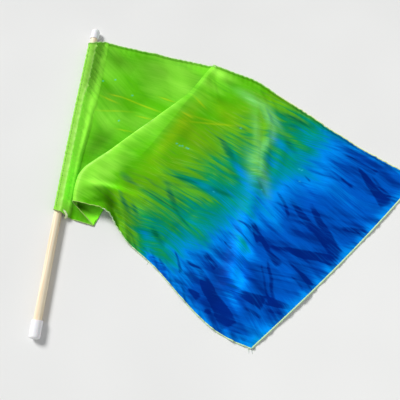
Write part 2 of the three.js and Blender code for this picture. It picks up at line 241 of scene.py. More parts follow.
def roll_height(v, distance, start_height):
    heights = [start_height] + [float(column(ROLL, reach, v)) for reach in ROLL_REACH]
    return through((0,) + ROLL_REACH, heights, distance)


def crease_height(x, y, creases=CREASES):
    added = np.zeros_like(x)
    for x1, y1, x2, y2, x3, y3, width, height in creases:
        nearest = np.full_like(x, np.inf)
        along = np.zeros_like(x)
        for k in np.linspace(0, 1, 25):
            px = (1 - k) ** 2 * x1 + 2 * k * (1 - k) * x2 + k * k * x3
            py = (1 - k) ** 2 * y1 + 2 * k * (1 - k) * y2 + k * k * y3
            away = np.hypot(x - px, y - py)
            along = np.where(away < nearest, k, along)
            nearest = np.minimum(nearest, away)
        fade = mix(CREASE_END_SHARE, 1, np.sin(np.pi * along))
        added += height * fade * bell(nearest / width)
    return added


def share(steps):
    return np.arange(steps) / steps


def cloth_row(v):
    """One row of places from the sleeve's stitched edge through the long fold to the fly edge."""
    sleeve = sleeve_points(v, share(STEPS["sleeve"]))
    drape = drape_points(v, share(STEPS["drape"]))
    groove = drape_points(v, np.array([1.0]))[0][:2]
    back = fold_place(HIDDEN_FOLD, v)
    front = fold_place(VISIBLE_FOLD, v)
    turn_share = ease((v - FOLD_RADIUS.start) / (1 - FOLD_RADIUS.start))
    fold_radius = mix(FOLD_RADIUS.low, FOLD_RADIUS.top, turn_share)
    radius = float(column(VISIBLE_FOLD, "radius", v))
    centre = float(column(VISIBLE_FOLD, "height", v))
    under_length = np.hypot(*(back - groove))
    middle_length = np.hypot(*(front - back))

    def flat(start, end, length, d, z):
        places = start + np.outer(d / length, end - start)
        return np.column_stack([places, np.broadcast_to(z, len(d))])

    d = mix(under_length, fold_radius, share(STEPS["under"]))
    under = flat(back, groove, under_length, d, FLOOR_LAYER)
    turn = share(STEPS["arc"]) * math.pi / 2
    d = fold_radius * (1 - np.sin(turn))
    back_low = flat(back, groove, under_length, d, FLOOR_LAYER + fold_radius * (1 - np.cos(turn)))
    d = fold_radius * (1 - np.cos(turn))
    back_high = flat(back, front, middle_length, d, FLOOR_LAYER + fold_radius * (1 + np.sin(turn)))
    k = share(STEPS["middle"])
    d = mix(fold_radius, middle_length - radius, k)
    rise = mix(FLOOR_LAYER + 2 * fold_radius, centre - radius, ease(k))
    middle = flat(back, front, middle_length, d, rise)
    turn = share(STEPS["round_arc"]) * math.pi / 2
    d = middle_length - radius * (1 - np.sin(turn))
    front_low = flat(back, front, middle_length, d, centre - radius * np.cos(turn))
    length = over_places(v, np.zeros(1), front)[1]
    places = over_places(v, radius * (1 - np.cos(turn)) / length, front)[0]
    front_high = np.column_stack([places, centre + radius * np.sin(turn)])
    t = mix(radius / length, 1, (np.arange(STEPS["over"] + 1) / STEPS["over"]) ** OVER_CROWDING)
    places = over_places(v, t, front)[0]
    d = t * length - radius
    height = roll_height(v, d, centre + radius)
    height = height + crease_height(places[:, 0], places[:, 1]) * ease(d / CREASE_OFF_FOLD)
    over = np.column_stack([places, np.maximum(FLOOR_LAYER, height)])
    return np.vstack([sleeve, drape, under, back_low, back_high, middle, front_low, front_high, over])


# The cloth's columns, by the part of it that they are in
COLUMN_STEPS = dict(STEPS, back=2 * STEPS["arc"], front=2 * STEPS["round_arc"], over=STEPS["over"] + 1)
COLUMN_OF = {}
COLUMNS = 0
for part in ("sleeve", "drape", "under", "back", "middle", "front", "over"):
    COLUMN_OF[part] = slice(COLUMNS, COLUMNS + COLUMN_STEPS[part])
    COLUMNS += COLUMN_STEPS[part]
sleeve, drape, under, middle, front, over = (
    COLUMN_OF[part] for part in ("sleeve", "drape", "under", "middle", "front", "over")
)


def on_columns(**values):
    """A number for each column of the cloth, 0 in the parts that aren't named."""
    numbers = np.zeros(COLUMNS)
    for part, value in values.items():
        numbers[COLUMN_OF[part]] = value
    return numbers


def normals_of(grid):
    across = np.gradient(grid, axis=1)
    up = np.gradient(grid, axis=0)
    n = np.cross(across, up)
    return n / np.maximum(np.linalg.norm(n, axis=-1, keepdims=True), 1e-9)


def lengths(grid, axis):
    """How far each place is from the cloth's first row or column, measured on the cloth."""
    steps = np.linalg.norm(np.diff(grid, axis=axis), axis=-1)
    return np.insert(steps.cumsum(axis=axis), 0, 0, axis=axis)


ROW_V = np.linspace(0, 1, ROWS)[:, None]
grid = np.array([cloth_row(v) for v in ROW_V[:, 0]])
up_cloth = lengths(grid, 0)
along_cloth = lengths(grid, 1)
from_top = up_cloth[-1] - up_cloth
from_hem = np.minimum(up_cloth, from_top)
from_fly = along_cloth[:, -1:] - along_cloth
from_edge = np.minimum(from_hem, from_fly)
from_fold = along_cloth[:, over] - along_cloth[:, [over.start]]

# Edges rise to the middle of their rolled hem.
HEM_RISE = 5
HEM_CLEARANCE = 0.1
LEAST_HEIGHT = 0.36
lift = (HEM_RADIUS - FLOOR_LAYER + HEM_CLEARANCE) * (1 - ease(from_edge / HEM_RISE))

# Puckers along the hems, round the sleeve and beside it. The waves are the shortest and the longest one.
HEM_PUCKER = Numbers(height=0.5, reach=9, waves=(9, 26), hem_rise=0.7, fly_rise=0.5)
LOW_HEM_WAVE = Numbers(height=1.6, reach=15, waves=(17, 40), rise=0.3, start=90, soft=60)
SLEEVE_PUCKER = Numbers(height=0.16, at_stitches=0.3, reach=40, waves=(6, 17), slant=0.25)
PANEL_PUCKER = Numbers(
    height=1.3, start=14, reach=14, waves=(9, 20), slant=0.8,
    low_share=0.25, low_y=430, high_y=480,
)
STITCH_ANGLE = 104
# The seam's ridge turns from the low angle to the high one between these places up the pole.
SEAM_RIDGE = Numbers(
    low_angle=60, high_angle=32, low_y=440, high_y=480,
    width=13, height=1.1, waves=(12, 40), ripple=0.3,
)
FOLD_CALM = 0.85
# Unevenness: how much, the shortest wave and the longest one
FLAT_UNEVEN = (1.0, 38, 120)
FLAT_RISE = 0.5
RIPPLE_WAVES = 9
RIPPLE_POWER = 0.27
UNEVEN_WAVES = 14


def ripple(distance, shortest, longest):
    total = np.zeros_like(distance)
    for _ in range(RIPPLE_WAVES):
        length = rng.uniform(shortest, longest)
        total += np.sin(2 * np.pi * (distance / length + rng.uniform())) * rng.uniform(0.4, 1)
    return total / math.sqrt(RIPPLE_POWER * RIPPLE_WAVES)


def uneven(x, y, amount, shortest, longest):
    total = np.zeros_like(x)
    for _ in range(UNEVEN_WAVES):
        length = rng.uniform(shortest, longest)
        turn = rng.uniform(0, np.pi)
        place = x * math.cos(turn) + y * math.sin(turn)
        total += np.sin(2 * np.pi * (place / length + rng.uniform()))
    return amount * total / math.sqrt(UNEVEN_WAVES)


def between(table, y):
    """0 at the table's low place up the pole, 1 at its high one."""
    return ease((y - table.low_y) / (table.high_y - table.low_y))


def past(table, place):
    """0 up to where the table starts, 1 beyond the length over which it changes."""
    return ease((place - table.start) / table.soft)


x, y = grid[..., 0], grid[..., 1]
along_waves = HEM_PUCKER.hem_rise + ripple(along_cloth, *HEM_PUCKER.waves)
up_waves = HEM_PUCKER.fly_rise + ripple(up_cloth, *HEM_PUCKER.waves)
raise_by = HEM_PUCKER.height * np.exp(-from_hem / HEM_PUCKER.reach) * along_waves
raise_by += HEM_PUCKER.height * np.exp(-from_fly / HEM_PUCKER.reach) * up_waves
low_waves = np.maximum(0, LOW_HEM_WAVE.rise + ripple(along_cloth, *LOW_HEM_WAVE.waves))
at_low_hem = on_columns(over=past(LOW_HEM_WAVE, from_fold[0]))
at_low_hem = at_low_hem * bell(up_cloth / LOW_HEM_WAVE.reach)
raise_by += LOW_HEM_WAVE.height * at_low_hem * low_waves
raise_by += FLAT_UNEVEN[0] * FLAT_RISE + uneven(x, y, *FLAT_UNEVEN)

on_sleeve = on_columns(sleeve=1, drape=np.linspace(1, 0, STEPS["drape"]))
turned_by = np.degrees(SLEEVE_START_ANGLE) - np.degrees(SLEEVE_TURN) * share(STEPS["sleeve"])
off_stitches = (turned_by - STITCH_ANGLE + 180) % 360 - 180
gathered = on_columns(sleeve=bell(off_stitches / SLEEVE_PUCKER.reach))
puckers = mix(SLEEVE_PUCKER.height, SLEEVE_PUCKER.at_stitches, gathered)
puckers = puckers * ripple(y + SLEEVE_PUCKER.slant * x, *SLEEVE_PUCKER.waves)
ridge_angle = mix(SEAM_RIDGE.low_angle, SEAM_RIDGE.high_angle, between(SEAM_RIDGE, y[:, sleeve]))
off_ridge = (turned_by + 360 - ridge_angle) / SEAM_RIDGE.width
ridge = np.zeros_like(x)
ridge[:, sleeve] = bell(off_ridge)
ridge_waves = 1 + SEAM_RIDGE.ripple * ripple(y, *SEAM_RIDGE.waves)
puckers = puckers + SEAM_RIDGE.height * ridge * ridge_waves
raise_by = mix(raise_by, puckers, on_sleeve)

from_pole = np.maximum(0, x - pole_axis_x(y) - PANEL_PUCKER.start)
beside = on_columns(drape=1, under=1) * bell(from_pole / PANEL_PUCKER.reach)
beside = beside * (PANEL_PUCKER.low_share + between(PANEL_PUCKER, y))
panel_waves = ripple(y + PANEL_PUCKER.slant * x, *PANEL_PUCKER.waves)
raise_by += PANEL_PUCKER.height * beside * panel_waves
raise_by *= 1 - FOLD_CALM * on_columns(back=1, middle=1, front=1)
grid = grid + normals_of(grid) * raise_by[..., None]
grid[..., 2] = np.maximum(grid[..., 2] + lift, LEAST_HEIGHT)
past_drape = 1 - on_columns(sleeve=1, drape=1)
grid[..., 2] += crease_height(grid[..., 0], grid[..., 1], LIFTS) * past_drape

# Places in the part's own frame, from the bottom cap's box. The bow puts the cap a little off the axis.
CAP_OFF_AXIS = 0.2
cap_low, cap_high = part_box("cap_bottom")
POLE_FOOT = np.array([(cap_low.x + cap_high.x) / 2 / MM + CAP_OFF_AXIS, cap_low.y / MM, 0])


def to_frame(points):
    return (np.asarray(points, float) + POLE_FOOT) * MM


def placed(name, data):
    thing = bpy.data.objects.new(name, data)
    bpy.context.scene.collection.objects.link(thing)
    return thing


def mesh_object(name, points, faces):
    mesh = bpy.data.meshes.new(name)
    mesh.from_pydata(points.tolist(), [], faces)
    mesh.polygons.foreach_set("use_smooth", [True] * len(mesh.polygons))
    mesh.update()
    return placed(name, mesh)


def grid_faces(rows, columns, closed=False):
    faces = []
    for j in range(rows - 1):
        for i in range(columns - (0 if closed else 1)):
            n = (i + 1) % columns
            a, b = j * columns + i, j * columns + n
            faces.append((a, b, b + columns, a + columns))
    return faces


flag = mesh_object("flag_silk", to_frame(grid.reshape(-1, 3)), grid_faces(ROWS, COLUMNS))

# Dye: how far the colour has run from lime to navy, at places along the way to the lower fly corner.
DYE_CENTRE = (311, 281)
DYE_WAY = (0.716, -0.698)
DYE_RUN = {
    "p": (-260, -200, -150, -110, -64, -25, 10, 50, 110, 220),
    "dye": (0.18, 0.22, 0.3, 0.41, 0.53, 0.6, 0.69, 0.84, 0.93, 0.91),
}
# Every stain below: x, y, its reach along and across, its direction in degrees, and its amount.
# Where the dye has run further, or less far
DYE_STAINS = (
    (402, 416, 34, 18, -25, 0.05), (178, 240, 34, 22, -40, 0.02), (70, 290, 45, 26, 60, -0.09),
    (345, 300, 26, 18, -60, -0.03), (327, 304, 29, 15, -46, 0.16), (323, 181, 72, 18, -96, -0.1),
    (316, 120, 37, 15, -91, -0.05), (351, 43, 25, 19, -86, -0.07), (449, 324, 56, 27, -33, -0.05),
    (370, 249, 25, 11, -48, -0.08), (226, 175, 38, 14, -35, 0.06), (341, 431, 62, 15, -82, -0.14),
    (337, 356, 51, 13, -91, -0.12), (399, 406, 56, 12, -41, -0.03), (251, 199, 32, 9, -47, -0.12),
    (188, 161, 35, 12, -59, -0.08), (222, 396, 42, 24, -32, 0.03), (374, 454, 23, 13, -28, 0.05),
    (373, 397, 27, 10, -59, 0.05), (293, 356, 47, 8, -67, 0.06), (219, 301, 51, 8, -20, 0.14),
    (265, 290, 40, 9, -24, 0.10), (266, 343, 30, 4, -34, 0.12), (138, 270, 44, 5, -27, 0.07),
    (155, 238, 25, 13, -25, 0.02), (153, 186, 14, 10, -63, 0.1), (316, 420, 30, 4, -22, 0.12),
    (321, 402, 26, 4, 0, 0.1), (340, 453, 29, 4, -69, 0.12), (384, 440, 42, 18, -40, -0.07),
    (326, 418, 26, 14, -40, -0.06), (304, 333, 30, 9, -58, 0.08), (180, 178, 38, 18, -45, 0.1),
    (138, 197, 32, 9, -26, 0.11), (190, 128, 42, 9, -50, 0.13), (226, 216, 30, 14, -45, 0.05),
    (80, 266, 45, 7, -8, -0.06), (254, 528, 24, 9, -28, -0.08), (166, 155, 17, 8, -38, 0.16),
    (192, 138, 16, 7, -45, 0.1),
)
# Painted shade on the panel beside the sleeve, along the folds and under the roll; a negative amount
# paints it lighter
PANEL_PAINTED_SHADE = (
    (50, 537, 30, 20, -30, 0.26), (150, 522, 30, 12, -20, 0.12), (209, 533, 26, 9, -18, -0.3),
    (56, 540, 34, 14, -25, 0.18), (47, 471, 26, 16, -25, 0.16), (40, 360, 16, 60, 0, 0.1),
    (34, 350, 14, 40, -14, 0.24), (58, 372, 26, 9, 57, 0.14), (100, 440, 40, 9, 55, 0.1),
    (46, 216, 45, 12, -12, 0.35), (18, 250, 8, 40, 0, 0.4),
)
# Painted light and painted shade inside the open roll
ROLL_INSIDE_LIGHT_AND_SHADE = (
    (74, 216, 16, 12, 0, 0.9), (34, 229, 18, 9, -10, -0.85),
)
# Dark green feathers in the lighter part; the last three are painted shade on the roll, in its hollow and
# a crease
SHADE_STAINS = (
    (113, 239, 25, 5, -59, 0.7), (162, 279, 31, 3.5, -32, 0.5), (190, 265, 23, 6, -63, 0.8),
    (283, 365, 32, 7, -56, 0.9), (218, 286, 57, 5, -5, 0.5), (213, 299, 25, 5, -12, 0.7),
    (304, 415, 18, 3, -23, 0.7), (355, 445, 20, 3.5, -65, 0.8), (246, 246, 29, 5, -21, 0.4),
    (174, 254, 39, 2, -26, 0.8), (218, 222, 20, 2.5, -44, 0.8), (131, 232, 16, 5, -60, 0.6),
    (279, 283, 34, 5, -19, 0.6), (294, 322, 31, 6, -47, 0.5), (316, 394, 21, 3, -6, 0.5),
    (175, 189, 26, 7, -53, 0.6), (407, 442, 46, 7, -22, 0.6), (395, 389, 35, 8, -56, 0.5),
    (208, 201, 44, 5, -40, 0.4), (254, 336, 34, 3, -49, 0.4), (348, 299, 26, 4, -60, 0.6),
    (109, 286, 20, 9, -35, 0.55), (86, 240, 14, 7, -50, 0.25), (100, 212, 9, 22, 15, 0.3),
)
# Painted highlights and painted shade on the silk, on the roll's crest and hollow, along the folds and on
# the ridge
PAINTED_LIGHT_AND_SHADE = (
    (92, 264, 42, 6, -8, 0.5), (138, 232, 20, 7, -45, 0.4), (128, 250, 16, 6, -30, 0.2),
    (54, 282, 10, 22, 0, 0.12), (50, 262, 14, 6, 10, 0.15), (84, 240, 12, 8, -50, -0.4),
    (98, 218, 7, 18, 15, -0.25), (116, 296, 14, 9, -30, -0.16), (392, 432, 36, 14, -35, -0.2),
    (205, 402, 55, 36, 55, -0.25), (318, 478, 30, 10, -30, 0.25), (105, 252, 15, 6, -30, 0.35),
    (247, 515, 24, 12, -60, 0.3), (226, 493, 22, 10, -50, 0.15), (272, 500, 26, 9, -40, 0.12),
    (254, 528, 24, 8, -28, 0.34), (271, 511, 18, 7, -30, -0.3),
)
# Yellow hairs, and three broad yellow places
YELLOW_HAIRS = (
    (61, 460, 13, 1.3, -13, 1), (88, 453, 15, 1.2, -16, 0.8), (125, 441, 24, 1.3, -18, 1),
    (49, 451, 17, 1.3, -22, 1), (157, 462, 13, 1.2, -15, 1), (61, 427, 30, 1.6, 2, 0.5),
    (122, 419, 14, 1.3, -8, 0.8), (87, 388, 14, 1.2, -7, 0.6), (200, 430, 11, 1.3, -28, 0.8),
    (236, 424, 38, 2, -10, 0.4), (222, 459, 14, 1.4, -43, 0.7), (248, 417, 43, 1.8, 1, 0.6),
    (184, 396, 70, 13, 61, 0.42), (215, 392, 34, 15, -45, 0.25), (268, 442, 30, 12, -40, 0.25),
)
# Plain places in the blue on the ridge: less ink, and a painted highlight that makes them lighter
CALM_PLACES = (
    (323, 181, 72, 18, -96, 0.85), (316, 120, 37, 15, -91, 0.7),
)
# Pale green places on the ridge and under the top hem: pale dye hairs with a painted sheen
MINT_AND_SHEEN_PLACES = (
    (352, 442, 24, 8, -62, 0.35), (362, 412, 18, 8, -88, 0.35), (351, 384, 20, 8, -118, 0.35),
    (366, 440, 26, 5, -60, 0.4), (348, 330, 34, 8, -75, 0.35), (328, 347, 32, 12, -75, 0.35),
    (333, 408, 50, 9, -80, 0.25), (318, 478, 34, 9, -30, 0.3),
)
# x and y of small cyan drops
DROPS = (
    (188, 368), (194, 364), (199, 364), (207, 361), (210, 360), (414, 342), (419, 340), (349, 294),
    (91, 464), (74, 407), (30, 490), (53, 496), (264, 282), (416, 318), (303, 414),
)
DROP_RADIUS = 1.1
# x, y and width of a wedge's two ends, and its strength
INK_WEDGES = (
    (246, 146, 9, 310, 50, 34, 0.85), (305, 45, 23, 340, 28, 15, 0.59), (205, 176, 3, 222, 133, 8, 0.65),
    (222, 159, 5, 259, 131, 10, 0.59), (255, 174, 10, 282, 144, 13, 0.57),
    (286, 195, 3, 303, 181, 8, 0.72), (300, 238, 3, 336, 218, 7, 0.67), (308, 112, 6, 364, 94, 26, 0.8),
    (322, 87, 8, 362, 70, 8, 0.62), (234, 108, 7, 256, 93, 16, 0.8), (262, 73, 7, 277, 70, 8, 0.77),
    (332, 236, 10, 353, 198, 16, 0.7), (382, 300, 5, 484, 188, 24, 0.72),
    (425, 292, 8, 490, 187, 17, 0.74), (352, 196, 5, 487, 176, 21, 0.78), (398, 262, 3, 470, 200, 9, 0.6),
    (508, 372, 4, 571, 284, 25, 0.74), (536, 352, 3, 578, 300, 10, 0.6), (336, 228, 3, 386, 160, 14, 0.7),
    (362, 186, 6, 382, 96, 8, 0.7), (352, 178, 3, 372, 92, 7, 0.6), (392, 178, 3, 444, 128, 13, 0.74),
    (400, 150, 3, 428, 120, 7, 0.55), (352, 101, 18, 423, 90, 9, 0.75), (479, 239, 5, 536, 232, 15, 0.62),
    (372, 304, 7, 401, 248, 7, 0.65), (474, 389, 5, 556, 347, 15, 0.62), (354, 90, 5, 424, 70, 8, 0.59),
    (487, 337, 5, 509, 314, 8, 0.62), (419, 334, 3, 437, 320, 5, 0.67), (146, 174, 2, 164, 156, 6, 0.6),
    (158, 172, 2, 176, 150, 6, 0.6), (178, 158, 3, 196, 134, 8, 0.66),
)
# How soft a wedge's sides are, the share of its length over which it fades in, and where it fades out
WEDGE_EDGE = 4.5
WEDGE_START = 0.4
WEDGE_END = 10
# Streaks bend on their way: the way across per way along, at the places of DYE_RUN.
STREAK_SLOPE = (0.33, 0.32, 0.31, 0.3, 0.28, 0.24, 0.18, 0.11, 0.03, -0.02)
STREAK_FAN = 0.0008
SIDE_STREAK_SLOPE = 0.63
STREAK_UV = 100
# Looks that change down the dye's way start at a place on it and change over a length.
BLUE = Numbers(start=-5, soft=60)
LEAST_BLUE = Numbers(dye=0.755, start=60, soft=40)
STREAKY = Numbers(least=0.25, start=-200, soft=130, panel=0.2, sleeve=0.15)
# CALM.tone: how much lighter the ridge's painted highlight makes the plain places
CALM = Numbers(most=0.85, tone=0.5)
EDGE_AZURE = Numbers(reach=13, dye=-0.1, less_ink=0.5)
# A painted shadow line just inside the top hem
TOP_HEM_SHADOW = Numbers(inset=3.4, width=1.3, dark=0.5)
# Where the top layer lies on the folded one it is painted lighter, as light that comes back through the
# doubled silk.
DOUBLED_PAINTED_LIGHT = Numbers(start=325, soft=25, tone=0.2, edge=1.5)
PANEL = Numbers(dye=0.23, tone=1.02, top_dye=0.2, slope=0.6, start=390, soft=120)
# Painted light on the middle layer inside the open roll: its tone at the visible fold and at the hidden
# one
MIDDLE_PAINTED_LIGHT = Numbers(fold=1.0, back=2.0)
# The seam's ridge gets a painted highlight: paler dye and a lighter tone
SLEEVE = Numbers(dye=0.1, tone=0.92, ridge_dye=0.05, ridge_tone=0.2)
# The light band beside the sleeve: a paler dye, with its tone painted light. It starts a little before or
# after the seam's ridge, and is plainer from a share of the cloth's height up. At its low end it fades
# sooner, and its tone is painted shade there.
BAND = Numbers(dye=0.13, end_dye=0.2, tone=1.85, top_tone=1.5, top_drape_tone=1.0)
BAND_START = Numbers(dye=0.2, tone=0.3)
BAND_TOP = Numbers(start=0.6, soft=0.2)
BAND_LOW = Numbers(soft=0.16, tone=0.55, power=1.1)
BAND_POWER = 3
# The fold's crest gets a painted highlight, paler dye and a lighter tone, except near the top hem, where
# its tone is painted darker.
CREST_HIGHLIGHT = Numbers(dye=-0.1, reach=5, tone=1.15, top_tone=0.78, start=0.68, soft=0.12)
STREAK_WANDER = (3, 90, 260)
WEDGE_WARP = (1.3, 28, 80)
TONE_UNEVEN = (0.06, 24, 90)
PANEL_DYE_UNEVEN = (0.02, 50, 150)
PANEL_TONE_UNEVEN = (0.12, 50, 160)


def stained(x, y, stains):
    total = np.zeros_like(x)
    for place_x, place_y, long, wide, direction, amount in stains:
        turn = math.radians(direction)
        along = (x - place_x) * math.cos(turn) + (y - place_y) * math.sin(turn)
        across = (y - place_y) * math.cos(turn) - (x - place_x) * math.sin(turn)
        total += amount * np.exp(-((along / long) ** 2) - (across / wide) ** 2)
    return total


def wedged(x, y, wedges):
    total = np.zeros_like(x)
    for ax, ay, a_width, bx, by, b_width, amount in wedges:
        long = math.hypot(bx - ax, by - ay)
        along = ((x - ax) * (bx - ax) + (y - ay) * (by - ay)) / long
        across = np.abs((y - ay) * (bx - ax) - (x - ax) * (by - ay)) / long
        half = mix(a_width, b_width, np.clip(along / long, 0, 1)) / 2
        inside = ease((half - across) / WEDGE_EDGE + 0.5)
        inside *= ease(along / (WEDGE_START * long) + 0.1) * ease((long - along) / WEDGE_END + 0.5)
        total = np.maximum(total, amount * inside)
    return total


def attribute(thing, name, values):
    layer = thing.data.attributes.new(name, "FLOAT", "POINT")
    layer.data.foreach_set("value", np.asarray(values, np.float32).ravel())


def uv_map(thing, name, u, w):
    layer = thing.data.uv_layers.new(name=name)
    corners = np.zeros(len(thing.data.loops), np.int32)
    thing.data.loops.foreach_get("vertex_index", corners)
    pairs = np.column_stack([u.ravel()[corners], w.ravel()[corners]]).astype(np.float32)
    layer.data.foreach_set("uv", pairs.ravel())


def streak_across(p, q):
    """The place across the streaks, which bend as they go down the cloth."""
    places = np.linspace(DYE_RUN["p"][0], DYE_RUN["p"][-1], 121)
    slopes = through(DYE_RUN["p"], STREAK_SLOPE, places)
    bend = np.concatenate([[0], np.cumsum((slopes[1:] + slopes[:-1]) / 2 * np.diff(places))])
    return q * np.exp(-STREAK_FAN * np.maximum(p, 0)) - np.interp(p, places, bend)


x, y = grid[..., 0], grid[..., 1]
p = (x - DYE_CENTRE[0]) * DYE_WAY[0] + (y - DYE_CENTRE[1]) * DYE_WAY[1]
q = -(x - DYE_CENTRE[0]) * DYE_WAY[1] + (y - DYE_CENTRE[1]) * DYE_WAY[0]
near_edge = bell(from_edge / EDGE_AZURE.reach)
calm = np.minimum(stained(x, y, CALM_PLACES), CALM.most)
blue = past(BLUE, p) * (1 - calm)
dye = through(DYE_RUN["p"], DYE_RUN["dye"], p) + stained(x, y, DYE_STAINS)
dye += EDGE_AZURE.dye * blue * near_edge
dye = mix(dye, np.maximum(dye, LEAST_BLUE.dye), past(LEAST_BLUE, p))
ink = wedged(x + uneven(x, y, *WEDGE_WARP), y + uneven(x, y, *WEDGE_WARP), INK_WEDGES)
ink *= 1 - EDGE_AZURE.less_ink * near_edge
shade = stained(x, y, SHADE_STAINS)
yellow = stained(x, y, YELLOW_HAIRS)
mint = stained(x, y, MINT_AND_SHEEN_PLACES)
drops = stained(x, y, [(*place, DROP_RADIUS, DROP_RADIUS, 0, 1) for place in DROPS])
streaky = mix(STREAKY.least, 1, past(STREAKY, p))
fold_x = np.interp(y, HIDDEN_FOLD["y"], HIDDEN_FOLD["x"])
over_fold = ease((fold_x - x) / DOUBLED_PAINTED_LIGHT.edge) * past(DOUBLED_PAINTED_LIGHT, y)
# The tone scales the silk's colour. It carries painted light and painted shade: the ridge's painted
# highlight, the painted light and shade stains and the doubled silk painted lighter, besides random
# unevenness.
tone = 1 + CALM.tone * calm + stained(x, y, PAINTED_LIGHT_AND_SHADE)
tone += DOUBLED_PAINTED_LIGHT.tone * over_fold + uneven(x, y, *TONE_UNEVEN)

# The layers behind the fold
plain_dye = mix(PANEL.dye, PANEL.top_dye, past(PANEL, x + PANEL.slope * y))
plain_dye += uneven(x, y, *PANEL_DYE_UNEVEN)
for part in ("under", "back", "middle"):
    on = COLUMN_OF[part]
    for values in (ink, blue, shade, mint):
        values[:, on] = 0
    dye[:, on] = plain_dye[:, on]
    streaky[:, on] = STREAKY.panel
    tone[:, on] = PANEL.tone - uneven(x, y, *PANEL_TONE_UNEVEN)[:, on]
# Painted shadow along the inside of the top hem
tone -= TOP_HEM_SHADOW.dark * bell((from_top - TOP_HEM_SHADOW.inset) / TOP_HEM_SHADOW.width)
# Painted shade on the panel
tone[:, under] -= stained(x, y, PANEL_PAINTED_SHADE)[:, under]
# The middle layer, seen inside the open roll, is painted lighter towards the hidden fold
tone[:, middle] = mix(MIDDLE_PAINTED_LIGHT.back, MIDDLE_PAINTED_LIGHT.fold, share(STEPS["middle"]))
tone[:, middle] += stained(x, y, ROLL_INSIDE_LIGHT_AND_SHADE)[:, middle]

# The sleeve, and the light band beside it, whose tone is painted light
for on in (sleeve, drape):
    for values in (shade, yellow, ink, blue):
        values[:, on] = 0
    streaky[:, on] = STREAKY.sleeve
band_share = share(STEPS["drape"])
near_top = past(BAND_TOP, ROW_V)
off_low = ease(ROW_V / BAND_LOW.soft)
dye[:, sleeve] = mix(SLEEVE.dye, BAND.dye, ease(BAND_START.dye - off_ridge))
# Painted highlight on the seam's ridge
dye[:, sleeve] -= SLEEVE.ridge_dye * ridge[:, sleeve]
dye[:, drape] = mix(BAND.dye, BAND.end_dye, band_share ** BAND_POWER)
band_painted_light = mix(BAND.tone, BAND.top_tone, near_top)
tone[:, sleeve] = mix(SLEEVE.tone, band_painted_light, ease(BAND_START.tone - off_ridge))
tone[:, sleeve] += SLEEVE.ridge_tone * ridge[:, sleeve]
band_painted_light = mix(BAND.tone, BAND.top_drape_tone, near_top)
band_share = band_share ** mix(BAND_LOW.power, BAND_POWER, off_low)
# Painted light along the band, turning to painted shade at its low end
tone[:, drape] = mix(band_painted_light, mix(BAND_LOW.tone, 1, off_low), band_share)

# The fold's crest, with its painted highlight
below_top = 1 - past(CREST_HIGHLIGHT, ROW_V)
ink[:, front] = 0
dye[:, front] = mix(plain_dye[:, front], dye[:, front], np.linspace(0, 1, 2 * STEPS["round_arc"]))
dye[:, front] += CREST_HIGHLIGHT.dye * below_top
dye[:, over] += CREST_HIGHLIGHT.dye * below_top * np.exp(-from_fold / CREST_HIGHLIGHT.reach)
tone[:, front] *= mix(CREST_HIGHLIGHT.top_tone, CREST_HIGHLIGHT.tone, below_top)

for name, values in {
    "dye": dye, "ink": ink, "blue": blue, "shade": shade, "yellow": yellow,
    "drops": drops, "mint": mint, "streaky": streaky, "tone": tone,
}.items():
    attribute(flag, name, values)
wander = uneven(x, y, *STREAK_WANDER)
uv_map(flag, "streaks", p / STREAK_UV, (streak_across(p, q) + wander) / STREAK_UV)
uv_map(flag, "side_streaks", p / STREAK_UV, (q - SIDE_STREAK_SLOPE * p + wander) / STREAK_UV)
uv_map(flag, "cloth", along_cloth / STREAK_UV, up_cloth / STREAK_UV)


